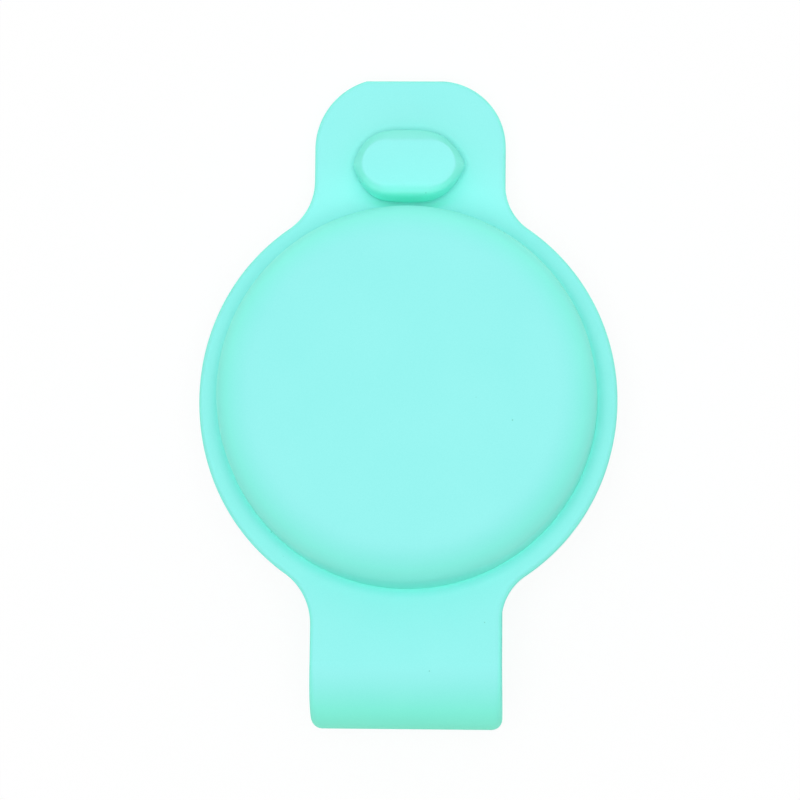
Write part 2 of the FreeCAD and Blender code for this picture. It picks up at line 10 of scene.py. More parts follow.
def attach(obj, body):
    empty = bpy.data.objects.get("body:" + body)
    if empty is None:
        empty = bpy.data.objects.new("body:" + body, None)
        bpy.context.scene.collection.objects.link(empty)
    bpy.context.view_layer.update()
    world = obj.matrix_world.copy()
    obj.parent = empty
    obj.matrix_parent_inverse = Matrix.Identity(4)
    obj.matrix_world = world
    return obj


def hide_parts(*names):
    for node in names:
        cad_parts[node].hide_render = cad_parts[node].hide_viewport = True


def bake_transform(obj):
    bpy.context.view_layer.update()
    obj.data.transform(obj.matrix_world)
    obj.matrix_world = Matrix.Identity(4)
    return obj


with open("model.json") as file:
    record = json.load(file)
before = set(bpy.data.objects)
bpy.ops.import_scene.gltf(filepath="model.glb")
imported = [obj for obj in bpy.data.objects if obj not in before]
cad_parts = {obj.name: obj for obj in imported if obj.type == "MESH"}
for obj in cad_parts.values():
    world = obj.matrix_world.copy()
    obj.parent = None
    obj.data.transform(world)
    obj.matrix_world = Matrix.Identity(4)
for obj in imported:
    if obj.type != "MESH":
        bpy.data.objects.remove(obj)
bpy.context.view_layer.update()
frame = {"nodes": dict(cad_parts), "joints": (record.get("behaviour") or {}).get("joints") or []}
mm = 0.001  # the sizes below are in millimetres, the frame is in metres
scene = bpy.context.scene
joints = {joint["name"]: joint for joint in frame["joints"]}

# The pouch's own axes come from its battery cover's joint: across, towards the tab, out of the dome.
outAxis = -np.array(joints["cover_twist"]["axis"], float)
acrossAxis = np.array([1.0, 0.0, 0.0])
tabAxis = np.cross(outAxis, acrossAxis)
pouchAxes = np.stack([acrossAxis, tabAxis, outAxis])
pouchMiddle = np.array(joints["cover_twist"]["pos_m"], float)


def place(points):
    # pouch axes in millimetres to the frame in metres
    return pouchMiddle + mm * (points @ pouchAxes)


def toLinear(hexColour):
    # sRGB hex to linear, with alpha
    srgb = np.array([int(hexColour[i:i + 2], 16) for i in (1, 3, 5)]) / 255
    linear = np.where(srgb <= 0.04045, srgb / 12.92, ((srgb + 0.055) / 1.055) ** 2.4)
    return (*linear.tolist(), 1.0)


def addNode(tree, kind, links=None, inputs=None, **settings):
    # one node with its settings, its fixed inputs and its links
    node = tree.nodes.new(kind)
    for key, setting in settings.items():
        setattr(node, key, setting)
    for key, number in (inputs or {}).items():
        node.inputs[key].default_value = number
    for key, source in (links or {}).items():
        tree.links.new(source, node.inputs[key])
    return node


def newMaterial(name):
    material = bpy.data.materials.new(name)
    material.use_nodes = True
    material.node_tree.nodes.clear()
    return material, material.node_tree


silicone = {
    "pigment": ("#8BEDE9", "#9AF3F0"),  # the colour drifts between these
    "steepShade": "#8DFBED",         # painted shade: steep faces are drawn greener and less red, as their shading comes out
    "steepness": (0.03, 0.53),  # where that starts and is full, 0 on flat faces and 1 on upright ones
    "crookShade": "#8FE3DE",         # painted shade in crooks: on the flange beside the dome and round the stud's head
    "foldShade": "#88F0DD",     # painted shade round the fold, strongest at its outside
    "cloudMm": 7.0, "cloudDetail": 2.0,   # slow drift of the pigment
    "speckMm": 0.12, "speckDetail": 1.0,  # grains of pigment, drawn coarse so that they show
    "speckShare": 0.55,                   # how much of the change of colour the grains make
    "grainMm": 0.16, "grainDetail": 2.0,  # spark-eroded mould texture, drawn a little coarse to show
    "grainRoughness": 0.6, "grainHeightMm": 0.006, "grainStrength": 0.35,
    "roughness": (0.48, 0.56), "ior": 1.41, "specular": 0.25,
    "bloom": 0.15, "bloomSpread": 0.75, "bloomTint": "#50FFD0",  # soft green lift of slopes seen edge-on
    "dust": "#58BFAE", "dustMm": 0.09,
    "dustCellMm": 3.0,          # a grain of dust lies in about every twentieth cell of this size
}


def mintSilicone():
    # Pigmented silicone rubber from a matte steel mould: soft, even colour with hardly any gloss, a
    # fine grain, and the odd grain of dust that the tacky surface holds.
    material, tree = newMaterial("moulded_mint_silicone")
    where = addNode(tree, "ShaderNodeTexCoord").outputs["Object"]
    cloud = addNode(tree, "ShaderNodeTexNoise", {"Vector": where},
                    {"Scale": 1 / (silicone["cloudMm"] * mm), "Detail": silicone["cloudDetail"]})
    specks = addNode(tree, "ShaderNodeTexNoise", {"Vector": where},
                     {"Scale": 1 / (silicone["speckMm"] * mm), "Detail": silicone["speckDetail"]})
    grain = addNode(tree, "ShaderNodeTexNoise", {"Vector": where},
                    {"Scale": 1 / (silicone["grainMm"] * mm), "Detail": silicone["grainDetail"],
                     "Roughness": silicone["grainRoughness"]})
    drift = addNode(tree, "ShaderNodeMix", {"A": cloud.outputs["Fac"], "B": specks.outputs["Fac"]},
                    {"Factor": silicone["speckShare"]})
    pigment = addNode(tree, "ShaderNodeMix", {"Factor": drift.outputs["Result"]},
                      {"A": toLinear(silicone["pigment"][0]), "B": toLinear(silicone["pigment"][1])},
                      data_type="RGBA")
    # painted shade kept on the mesh's corners: on slopes, in crooks and round the fold
    paintedShade = addNode(tree, "ShaderNodeAttribute", attribute_name="paintedShade")
    shadedPigment = addNode(tree, "ShaderNodeMix", {"A": pigment.outputs["Result"], "B": paintedShade.outputs["Color"]},
                     {"Factor": 1.0}, data_type="RGBA", blend_type="MULTIPLY")
    cells = addNode(tree, "ShaderNodeTexVoronoi", {"Vector": where},
                    {"Scale": 1 / (silicone["dustCellMm"] * mm)})
    speck = addNode(tree, "ShaderNodeMapRange", {"Value": cells.outputs["Distance"]},
                    {"From Min": silicone["dustMm"] / silicone["dustCellMm"], "From Max": 0.0})
    dusted = addNode(tree, "ShaderNodeMix",
                     {"Factor": speck.outputs["Result"], "A": shadedPigment.outputs["Result"]},
                     {"B": toLinear(silicone["dust"])}, data_type="RGBA")
    gloss = addNode(tree, "ShaderNodeMapRange", {"Value": grain.outputs["Fac"]},
                    {"To Min": silicone["roughness"][0], "To Max": silicone["roughness"][1]})
    bump = addNode(tree, "ShaderNodeBump", {"Height": grain.outputs["Fac"]},
                   {"Strength": silicone["grainStrength"], "Distance": silicone["grainHeightMm"] * mm})
    skin = addNode(tree, "ShaderNodeBsdfPrincipled",
                   {"Base Color": dusted.outputs["Result"], "Roughness": gloss.outputs["Result"],
                    "Normal": bump.outputs["Normal"]},
                   {"IOR": silicone["ior"], "Specular IOR Level": silicone["specular"],
                    "Sheen Weight": silicone["bloom"], "Sheen Roughness": silicone["bloomSpread"],
                    "Sheen Tint": toLinear(silicone["bloomTint"])})
    addNode(tree, "ShaderNodeOutputMaterial", {"Surface": skin.outputs["BSDF"]})
    return material


mint = mintSilicone()

moulding = {"thickness": 2.0, "strapWidth": 17.55, "foldRadius": 6.0}
thick = moulding["thickness"]
halfStrap = moulding["strapWidth"] / 2
# The fold's middle surface is an arc. Its apex lies on the joint's axis, its centre behind that along Y.
foldMiddle = moulding["foldRadius"] - thick / 2
foldApex = pouchAxes @ (np.array(joints["fold_hinge"]["pos_m"]) - pouchMiddle) / mm
foldCentre = foldApex + foldMiddle * (pouchAxes @ np.array([0.0, 1.0, 0.0]))
foldStart = -foldCentre[1]
meshing = {
    "spacing": 0.3,    # between columns
    "roundRows": 7,    # rows in each quarter round
    "merge": 0.0005,   # distance within which two points are one
    "sharpAngle": 40,  # degrees between two faces past which their edge stays sharp
}


def buildMesh(name, rows, material):
    # Grid of points, rows by columns. Quads join each point to its neighbours, the columns close into
    # rings, and rows that have shrunk to a point or a line are merged.
    count, around = rows.shape[:2]
    ids = np.arange(count * around).reshape(count, around)
    following = np.roll(ids, -1, axis=1)
    quads = np.stack([ids[:-1], following[:-1], following[1:], ids[1:]], -1).reshape(-1, 4)
    mesh = bpy.data.meshes.new(name)
    mesh.from_pydata(place(rows).reshape(-1, 3).tolist(), [], quads.tolist())
    shape = bmesh.new()
    shape.from_mesh(mesh)
    bmesh.ops.remove_doubles(shape, verts=shape.verts, dist=meshing["merge"] * mm)
    bmesh.ops.recalc_face_normals(shape, faces=shape.faces)
    shape.to_mesh(mesh)
    shape.free()
    piece = bpy.data.objects.new(name, mesh)
    scene.collection.objects.link(piece)
    mesh.materials.append(material)
    return piece


def tintShift(colour):
    # what the pigment is multiplied by to give a colour, less one
    pigment = np.mean([toLinear(tone) for tone in silicone["pigment"]], axis=0)
    return np.array(toLinear(colour)) / pigment - 1


def finishShading(mesh, colour=None, share=None):
    # Smooth shading between sharp edges, and painted shade at each corner: towards the steep shade colour
    # by the square of the sine of the slope, and towards another painted shade colour by a share worked out
    # from place and steepness.
    mesh.shade_smooth()
    mesh.set_sharp_from_angle(angle=math.radians(meshing["sharpAngle"]))
    normals = np.empty(len(mesh.loops) * 3, np.float32)
    mesh.corner_normals.foreach_get("vector", normals)
    steepness = 1 - (normals.reshape(-1, 3) @ outAxis) ** 2
    start, full = silicone["steepness"]
    slopeShadeShare = np.clip((steepness - start) / (full - start), 0, 1)
    # painted shade on steep faces, by the square of the sine of the slope
    paintedShade = 1 + slopeShadeShare[:, None] * tintShift(silicone["steepShade"])
    if colour:
        corners = np.empty(len(mesh.loops), np.int32)
        mesh.loops.foreach_get("vertex_index", corners)
        points = np.empty(len(mesh.vertices) * 3, np.float32)
        mesh.vertices.foreach_get("co", points)
        points = (points.reshape(-1, 3) - pouchMiddle) @ pouchAxes.T / mm
        paintedShade *= 1 + share(points[corners], steepness)[:, None] * tintShift(colour)
    attribute = mesh.attributes.get("paintedShade") or mesh.attributes.new("paintedShade", "FLOAT_COLOR", "CORNER")
    attribute.data.foreach_set("color", paintedShade.astype(np.float32).ravel())


def spread(start, end, spacing):
    # evenly spaced numbers, the last one left out
    return np.linspace(start, end, max(2, round(abs(end - start) / spacing)), endpoint=False)


def arcPoints(centre, radius, start, end, spacing):
    # points on an arc and the unit directions out of its centre, in plan
    turn = np.radians(spread(start, end, math.degrees(spacing / radius)))
    out = np.stack([np.cos(turn), np.sin(turn)], -1)
    return np.array(centre) + radius * out, out


def straightPoints(start, end, out, spacing):
    # points on a straight line and the direction out of the outline there, in plan
    start, end = np.array(start, float), np.array(end, float)
    share = spread(0, np.linalg.norm(end - start), spacing)[:, None] / np.linalg.norm(end - start)
    points = start + share * (end - start)
    return points, np.broadcast_to(np.array(out, float), points.shape)


def bothHalves(right, left):
    # right half of an outline, from its middle below to its middle above, then the left half mirrored back
    mirror = np.array([-1.0, 1.0])
    there, back = ([np.concatenate(parts) for parts in zip(*half)] for half in (right, left))
    return [np.concatenate([ahead, behind[1:-1][::-1] * mirror]) for ahead, behind in zip(there, back)]


def roundedEdge(edge):
    # Inset and height of a rim: quarter round, upright side, quarter round. The edge may hold a radius
    # for each row.
    turn = np.linspace(0, np.pi / 2, meshing["roundRows"])
    inset = edge * (1 - np.sin(turn))
    height = thick / 2 - edge * (1 - np.cos(turn))
    return np.concatenate([inset, inset[..., ::-1]], -1), np.concatenate([height, -height[..., ::-1]], -1)


def rowTable(groups):
    # columns of a table with a line for each row of points; in a group, one number may stand for many
    return np.concatenate([np.stack(np.broadcast_arrays(*group)) for group in groups], -1)


tiny = 0.01    # least number to divide by
slotEnds = 40  # how abruptly the two halves of a slot part at its middle


def slotOutline(length, width, turn):
    # round-ended slot: a circle whose two halves stand apart
    across = width / 2 * np.cos(turn) + (length - width) / 2 * np.clip(slotEnds * np.cos(turn), -1, 1)
    return np.stack([across, width / 2 * np.sin(turn)], -1)


pouch = {
    "domeRadius": 17.5, "domeTop": 8.7, "crownRadius": 150.0, "shoulder": 3.8,
    "draft": 0.2,                          # how far the dome's wall leans in towards the shoulder
    "coveWidth": 0.95, "coveDepth": 0.24,  # shallow cove round the dome's foot
    "flangeRadius": 19.33, "tabWidth": 17.75, "tabReach": 29.97, "edge": 0.4,
    # The soft rim's two sides differ a little: the flange's reach at the lower and upper neck, the necks'
    # radii, the tab corner's radius and how much of it the straight top cuts off.
    "right": {"reach": (19.52, 19.45), "necks": (5.0, 5.0), "corner": 6.25, "cropped": 0.02},
    "left": {"reach": (19.63, 19.49), "necks": (5.75, 5.5), "corner": 6.65, "cropped": 0.28},
    "wall": 1.3, "lipRadius": 13.2, "lipThickness": 1.5, "lipRound": 0.4,
    "holeReach": 21.77, "holeLength": 7.3, "holeWidth": 3.6,
    "holeSpare": 1.0,  # how far the hole's cutter stands out of both faces
    # dent that the stud's head presses into the tab, and a deeper one in the nip between head and dome
    "seatLength": 9.6, "seatWidth": 6.4, "seatDip": 0.42, "seatFade": 1.15,
    "nipDip": 1.1, "nipWidth": 4.0, "nipFade": 0.9,
    # painted shade on the flange at the dome's sides and in a ring round the stud's head
    "rimShade": 0.5, "ringShade": 0.9, "ringFade": 1.5, "ringStart": 0.35,
    "crookStart": 0.3,  # width outside the dome over which it comes in
    # rows on crown and shoulder, outside and in the pocket, then on the wall and in the cove
    "domeRows": (16, 22), "pocketRows": (8, 10), "wallRows": 6, "coveRows": 9,
    # The front face has close rows as far as the dent goes, then two more, as shares of the way to the rim.
    "frontRows": 48, "dentReach": 0.75, "frontShares": (0.86, 0.96),
    "backShares": (0.96, 0.8, 0.5, 0.2, 0.02),  # the back face, from the rim in
    "holeColumns": 96,
}


def pouchHalf(side):
    # Seam to the fold, strap side, neck round, flange circle, neck round, tab side, corner, top.
    # A point moved inwards along its direction gives the outline set in by that much. The seam stays in
    # its plane, so its points move sideways only, by their share of the way to its end.
    halfTab, reach, gap = pouch["tabWidth"] / 2, pouch["tabReach"], meshing["spacing"]
    lowReach, highReach = side["reach"]
    lowRound, highRound = side["necks"]
    low = math.sqrt((lowReach + lowRound) ** 2 - (halfStrap + lowRound) ** 2)
    high = math.sqrt((highReach + highRound) ** 2 - (halfTab + highRound) ** 2)
    lowTurn = math.degrees(math.atan2(low, halfStrap + lowRound))
    highTurn = math.degrees(math.atan2(high, halfTab + highRound))
    seam, _ = straightPoints((0, -foldStart), (halfStrap, -foldStart), (1, 0), gap)
    lowNeck, lowOut = arcPoints((halfStrap + lowRound, -low), lowRound, 180, 180 - lowTurn, gap)
    highNeck, highOut = arcPoints((halfTab + highRound, high), highRound, 180 + highTurn, 180, gap)
    corner = side["corner"]
    cornerMiddle = np.array([halfTab - corner, reach + side["cropped"] - corner])
    cornerTurn = math.asin(1 - side["cropped"] / corner)
    cornerEnd = cornerMiddle[0] + corner * math.cos(cornerTurn)
    top, topOut = straightPoints((cornerEnd, reach), (0, reach), (0, 1), gap)
    # The flange's radius grows smoothly from its side to either neck.
    _, flangeOut = arcPoints((0, 0), pouch["flangeRadius"], -lowTurn, highTurn, gap)
    turn = np.degrees(np.arcsin(flangeOut[:, 1]))
    share = np.where(turn < 0, -turn / lowTurn, turn / highTurn)
    drawn = np.where(turn < 0, lowReach, highReach) - pouch["flangeRadius"]
    radius = pouch["flangeRadius"] + drawn * share ** 2 * (3 - 2 * share)
    return [
        (seam, seam * np.array([1 / halfStrap, 0.0])),
        straightPoints((halfStrap, -foldStart), (halfStrap, -low), (1, 0), gap),
        (lowNeck, -lowOut),
        (radius[:, None] * flangeOut, flangeOut),
        (highNeck, -highOut),
        straightPoints((halfTab, high), (halfTab, cornerMiddle[1]), (1, 0), gap),
        arcPoints(cornerMiddle, corner, 0, math.degrees(cornerTurn), gap),
        (np.concatenate([top, [(0, reach)]]), np.concatenate([topOut, [(0, 1)]])),
    ]


def domeSide(radius, inset, crownRows, shoulderRows):
    # crown arc from the middle out, then the shoulder arc down to the upright wall, both set in by a wall
    across = radius - pouch["shoulder"]
    middles = pouch["crownRadius"] - pouch["shoulder"]
    lean = math.asin(across / middles)
    base = pouch["domeTop"] - pouch["crownRadius"]
    crownTurn = np.linspace(0, lean, crownRows)
    crown = pouch["crownRadius"] - inset
    bend = np.linspace(lean, np.pi / 2, shoulderRows)[1:]
    small = pouch["shoulder"] - inset
    return (np.concatenate([crown * np.sin(crownTurn), across + small * np.sin(bend)]),
            np.concatenate([base + crown * np.cos(crownTurn),
                            base + middles * math.cos(lean) + small * np.cos(bend)]))


def fromHead(plan):
    # place beside the middle of the stud's head, and how far outside the head's oval it lies
    across, along = plan[..., 0], plan[..., 1] - pouch["holeReach"]
    oval = np.hypot(across / (pouch["seatLength"] / 2), along / (pouch["seatWidth"] / 2))
    outside = np.hypot(across, along) * (1 - 1 / np.maximum(oval, tiny))
    return across, along, np.clip(outside, 0, None)


def headDent(plan, height):
    # Depth of the front face below its plane: falls off exponentially outside the head's oval, with a
    # deeper bell-shaped dent in the nip before the dome. It fades out up the dome's wall, and is nil on
    # the back.
    across, along, outside = fromHead(plan)
    seat = pouch["seatDip"] * np.exp(-outside / pouch["seatFade"])
    bell = np.exp(-(across / pouch["nipWidth"]) ** 2 - (outside / pouch["nipFade"]) ** 2)
    nip = (pouch["nipDip"] - seat) * bell * np.clip(-along / (pouch["seatWidth"] / 2), 0, 1) ** 2
    return (seat + nip) * np.clip(1 - height / thick, 0, 1) * (height > -thick / 2)


def pouchRows():
    # Profile carried round the outline: each row is a share of the way from a circle about the dome's
    # axis to the outline set in by some inset, at some height.
    points, out = bothHalves(pouchHalf(pouch["right"]), pouchHalf(pouch["left"]))
    turn = np.arctan2(points[:, 1], points[:, 0])
    ring = np.stack([np.cos(turn), np.sin(turn)], -1)
    domeRadius, draft, edge = pouch["domeRadius"], pouch["draft"], pouch["edge"]
    coveWidth, coveDepth = pouch["coveWidth"], pouch["coveDepth"]
    lipRadius, lipRound = pouch["lipRadius"], pouch["lipRound"]
    domeR, domeZ = domeSide(domeRadius - draft, 0.0, *pouch["domeRows"])
    pocketR, pocketZ = domeSide(domeRadius - draft / 2, pouch["wall"], *pouch["pocketRows"])
    wall = np.linspace(0, 1, pouch["wallRows"])[1:]
    cove = np.linspace(0, 1, pouch["coveRows"])[1:]
    quarter = np.linspace(0, np.pi / 2, meshing["roundRows"])
    rimInset, rimZ = roundedEdge(edge)
    front = np.linspace(0, pouch["dentReach"], pouch["frontRows"])[1:]
    share, radius, inset, height = rowTable([
        (0.0, domeR, 0.0, domeZ),
        (0.0, domeR[-1] + wall * draft, 0.0, domeZ[-1] + wall * (-coveDepth - domeZ[-1])),
        (0.0, domeRadius + coveWidth * cove, 0.0, -coveDepth * (1 - cove) ** 2),
        (front, domeRadius + coveWidth, edge, 0.0),
        (pouch["frontShares"], domeRadius + coveWidth, edge, 0.0),
        (1.0, 0.0, rimInset, rimZ - thick / 2),
        (pouch["backShares"], lipRadius + lipRound, edge, -thick),
        (0.0, lipRadius + lipRound * (1 - np.sin(quarter)), 0.0, -thick + lipRound * (1 - np.cos(quarter))),
        (0.0, [lipRadius, pocketR[-1]], 0.0, pouch["lipThickness"] - thick),
        (0.0, pocketR[::-1], 0.0, pocketZ[::-1]),
    ])[..., None, None]
    plan = (1 - share) * radius * ring + share * (points - inset * out)
    height = height[..., 0] - headDent(plan, height[..., 0])
    return np.concatenate([plan, height[..., None]], -1)


def holeRows():
    # the buttonhole's slot, closed at both ends
    turn = np.linspace(0, 2 * np.pi, pouch["holeColumns"], endpoint=False)
    plan = slotOutline(pouch["holeLength"], pouch["holeWidth"], turn)
    behind, before = -thick - pouch["holeSpare"], pouch["holeSpare"]
    share = np.array([0.0, 1.0, 1.0, 0.0])[:, None, None]
    height = np.array([behind, behind, before, before])[:, None, None]
    plan = share * plan + np.array([0, pouch["holeReach"]])
    return np.concatenate([plan, np.broadcast_to(height, plan.shape[:2] + (1,))], -1)


def pouchCrookShade(points, steepness):
    # share of the painted shade on the flange at the dome's sides, and on the tab round the stud's head,
    # off the dome itself
    _, along, outside = fromHead(points)
    radius = np.hypot(points[:, 0], points[:, 1])
    rim = pouch["rimShade"] * (points[:, 0] / np.maximum(radius, tiny)) ** 2
    ring = np.exp(-outside / pouch["ringFade"]) - np.exp(-outside / pouch["ringStart"])
    ring *= pouch["ringShade"] * np.clip(1 + along / (pouch["seatWidth"] / 2), 0, 1)
    offDome = np.clip((radius - pouch["domeRadius"]) / pouch["crookStart"], 0, 1)
    return np.clip(rim + ring, 0, 1) * offDome


pouchPiece = buildMesh("pouch_moulding", pouchRows(), mint)
hole = buildMesh("hole_cutter", holeRows(), mint)
cut = pouchPiece.modifiers.new("buttonhole", "BOOLEAN")
cut.object = hole
cut.operation = "DIFFERENCE"
cut.solver = "EXACT"
bpy.context.view_layer.update()
cutPiece = pouchPiece.evaluated_get(bpy.context.evaluated_depsgraph_get())
cutMesh = bpy.data.meshes.new_from_object(cutPiece)
pouchPiece.modifiers.clear()
pouchPiece.data = cutMesh
cutMesh.name = "pouch_moulding"
bpy.data.objects.remove(hole)
# painted shade on the pouch's slopes, on its flange beside the dome and round the stud's head
finishShading(cutMesh, silicone["crookShade"], pouchCrookShade)
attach(pouchPiece, "pouch")
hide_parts("pouch_body")
print("pouch:", len(cutMesh.polygons), "faces")

strap = {
    "kneeRadius": 12.0, "padStart": 15.77, "padReach": 28.07, "padCorner": 5.0, "edge": 0.8,
    "spineStart": 3.0,                          # where the spine begins that the two faces spread from
    "faceShares": (0.0, 0.3, 0.6, 0.9, 0.985),  # rows of a face, from the spine to the rim
}
fold = {
    "edges": (pouch["edge"], 1.0, strap["edge"]),  # rim's radius at the pouch, the apex, the strap
    "flare": 0.1,         # the bent rubber spreads sideways a little
    "blendMargin": 0.1,   # the blend between the bodies starts and ends this far inside the fold's hollow
    "rows": 72, "faceColumns": 12,
}
# The strap's straight run is the line that touches the fold's arc and the knee's arc, one on each side.
# The pad's middle lies a thickness and a half below the tab's front face.
padMiddle = -1.5 * thick
kneeAcross = strap["padStart"] + foldStart
kneeDown = moulding["foldRadius"] + padMiddle - strap["kneeRadius"]
bothRadii = foldMiddle + strap["kneeRadius"]
strapSlope = math.atan2(kneeDown, kneeAcross) + math.asin(bothRadii / math.hypot(kneeAcross, kneeDown))


def foldRows():
    # Strap section, a rectangle with round edges, carried round the fold's arc. Both ends close on their
    # middle.
    turn = np.linspace(0, np.pi + strapSlope, fold["rows"])
    turn = np.concatenate([turn[:1], turn, turn[-1:]])[:, None]
    share = np.ones(turn.shape)
    share[[0, -1]] = 0.0
    edge = np.interp(turn, [0, np.pi / 2, np.pi + strapSlope], fold["edges"])
    inset, height = roundedEdge(edge)
    side = halfStrap + fold["flare"] * np.clip(np.sin(turn), 0, None)
    flat = np.linspace(-1, 1, fold["faceColumns"])[1:-1] * (side - edge)
    face = np.full(flat.shape, thick / 2)
    across = np.concatenate([side - inset, -flat, inset[:, ::-1] - side, flat], -1)
    above = np.concatenate([height, -face, height[:, ::-1], face], -1)
    radius = foldMiddle + share * above
    along = foldCentre[1] - radius * np.sin(turn)
    return np.stack([share * across, along, foldCentre[2] + radius * np.cos(turn)], -1)


def foldShadeShare(points, steepness):
    # share of the painted shade round the fold, by the square of the way from the seam to the fold's
    # outside
    return np.clip((-foldStart - points[:, 1]) / moulding["foldRadius"], 0, 1) ** 2


foldPiece = buildMesh("fold_moulding", foldRows(), mint)
# painted shade on the fold's slopes and round its outside
finishShading(foldPiece.data, silicone["foldShade"], foldShadeShare)
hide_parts("fold_band")
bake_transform(foldPiece)
print("fold:", len(foldPiece.data.polygons), "faces")


def strapRows():
    # The strap's flat outline with its rounded rim, from a spine out, laid along the side view's line:
    # straight run off the fold, knee arc, flat pad.
    knee = np.array([strap["padStart"], padMiddle - strap["kneeRadius"]])
    start = foldCentre[1:] + foldMiddle * np.array([math.sin(strapSlope), -math.cos(strapSlope)])
    runLength = math.sqrt(kneeAcross ** 2 + kneeDown ** 2 - bothRadii ** 2)
    arcLength = strap["kneeRadius"] * strapSlope
    length = runLength + arcLength + strap["padReach"] - strap["padStart"]
    corner, gap = strap["padCorner"], meshing["spacing"]
    seam, _ = straightPoints((0, 0), (halfStrap, 0), (1, 0), gap)
    end, endOut = straightPoints((halfStrap - corner, length), (0, length), (0, 1), gap)
    half = [
        (seam, seam * np.array([1 / halfStrap, 0.0])),
        straightPoints((halfStrap, 0), (halfStrap, length - corner), (1, 0), gap),
        arcPoints((halfStrap - corner, length - corner), corner, 0, 90, gap),
        (np.concatenate([end, [(0, length)]]), np.concatenate([endOut, [(0, 1)]])),
    ]
    points, out = bothHalves(half, half)
    spineAlong = np.clip(points[:, 1], strap["spineStart"], length - halfStrap)
    spine = np.stack([np.zeros(len(points)), spineAlong], -1)
    edge, face = strap["edge"], strap["faceShares"]
    rimInset, rimHeight = roundedEdge(edge)
    share, inset, height = rowTable([
        (face, edge, thick / 2),
        (1.0, rimInset, rimHeight),
        (face[::-1], edge, -thick / 2),
    ])[..., None, None]
    plan = (1 - share) * spine + share * (points - inset * out)
    along, height = plan[..., 1], height[..., 0]
    lean = np.interp(along, [0, runLength, runLength + arcLength], [strapSlope, strapSlope, 0])
    onRun, onKnee = along < runLength, along < runLength + arcLength
    across = np.where(onRun, start[0] + along * math.cos(strapSlope),
                      np.where(onKnee, knee[0] - strap["kneeRadius"] * np.sin(lean),
                               knee[0] + along - runLength - arcLength))
    up = np.where(onRun, start[1] + along * math.sin(strapSlope),
                  knee[1] + strap["kneeRadius"] * np.cos(lean))
    return np.stack([plan[..., 0], across - height * np.sin(lean), up + height * np.cos(lean)], -1)


strapPiece = buildMesh("strap_moulding", strapRows(), mint)
# painted shade on the strap's slopes
finishShading(strapPiece.data)
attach(strapPiece, "strap")
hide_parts("back_strap")
print("strap:", len(strapPiece.data.polygons), "faces")

stud = {
    "reach": 21.77, "sideways": -0.07,
    # oval of the head's rim, and the powers that flatten its sides and point its right end
    "length": 10.3, "width": 6.55, "leftPowers": (0.53, 1.58), "rightPowers": (0.66, 1.6),
    # the rim's height, how far it comes down beside the dome, and its round
    "rim": 0.95, "rimDrop": 1.2, "rimRound": 0.1,
    # flat round-ended top, a little off the middle
    "topLength": 8.4, "topWidth": 3.9, "topShift": 0.12, "height": 1.9,
    # turn of the head's side, at its ends and at its long sides: share of the way in, and height
    "waistShares": (0.1, 0.26), "waistHeights": (1.2, 1.45), "waistRound": 0.28,
    "crest": 0.82, "crestRound": 0.06,  # turn into the flat top
    "neckLength": 7.0, "neckWidth": 3.3, "root": 0.25, "sunk": 0.05,
    "crookRise": 2.5, "crookFall": 2.2,  # painted shade on its slopes
    "columns": 160, "rows": 25,
}


def smoothLeast(first, second, blur):
    # the lower of two heights, with a smooth turn where they meet
    return -blur * np.logaddexp(-first / blur, -second / blur)


def studRows():
    # Rings between three outlines, from the root up: the neck's slot, the head's oval, the top's slot.
    # The head's side goes from the oval in to the slot as a steep line, a gentler one and the flat top.
    # The smooth least of their heights, stretched to start on the rim and end at the top, rounds the turns.
    turn = np.linspace(0, 2 * np.pi, stud["columns"], endpoint=False)
    out = np.stack([np.cos(turn), np.sin(turn)], -1)
    powers = np.where(out[:, :1] > 0, stud["rightPowers"], stud["leftPowers"])
    head = np.array([stud["length"], stud["width"]]) / 2 * np.sign(out) * np.abs(out) ** powers
    neck = slotOutline(stud["neckLength"], stud["neckWidth"], turn)
    top = slotOutline(stud["topLength"], stud["topWidth"], turn) + np.array([0, stud["topShift"]])
    column = np.linspace(0, 1, stud["rows"])[:, None, None]
    under = column[1:-1]
    arc = column * np.pi / 2
    roundIn, roundUp = 1 - np.sin(arc), 1 - np.cos(arc)
    domeward = np.clip(-out[:, 1:], 0, 1)
    rim = stud["rim"] - stud["rimDrop"] * domeward ** 2
    rimTop = rim + stud["rimRound"]
    longSide = out[:, 1:] ** 2
    waist = np.interp(longSide, [0, 1], stud["waistShares"])
    waistHeight = np.interp(longSide, [0, 1], stud["waistHeights"])
    steepLine = rimTop + column / waist * (waistHeight - rimTop)
    slopeLine = waistHeight + (column - waist) / (stud["crest"] - waist) * (stud["height"] - waistHeight)
    side = smoothLeast(steepLine, slopeLine, stud["waistRound"])
    side = smoothLeast(side, np.full(side.shape, stud["height"]), stud["crestRound"])
    side = rimTop + (side - side[0]) * (stud["height"] - rimTop) / (side[-1] - side[0])
    foot = -thick - stud["sunk"]
    rings = [  # outline and height of each group of rings
        (0 * neck[None], foot),
        (neck + stud["root"] * roundIn * out, foot + stud["root"] * roundUp),
        ((1 - under) * neck + under * (head - stud["rimRound"] * out), under * rim),
        (head - stud["rimRound"] * roundIn * out, rim + stud["rimRound"] * roundUp),
        ((1 - column) * head + column * top, side),
        ((1 - column[1:]) * top, stud["height"]),
    ]
    plan = np.concatenate([ring for ring, _ in rings]) + np.array([stud["sideways"], stud["reach"]])
    height = np.concatenate([np.broadcast_to(level, ring.shape[:2] + (1,)) for ring, level in rings])
    return np.concatenate([plan, height], -1)


def studSlopeShade(points, steepness):
    # share of the painted shade, most on slopes of middling steepness
    return steepness * (stud["crookRise"] - stud["crookFall"] * steepness)


studPiece = buildMesh("stud_moulding", studRows(), mint)
# painted shade on the stud's slopes
finishShading(studPiece.data, silicone["crookShade"], studSlopeShade)
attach(studPiece, "strap")
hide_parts("button_stud")
print("stud:", len(studPiece.data.polygons), "faces")

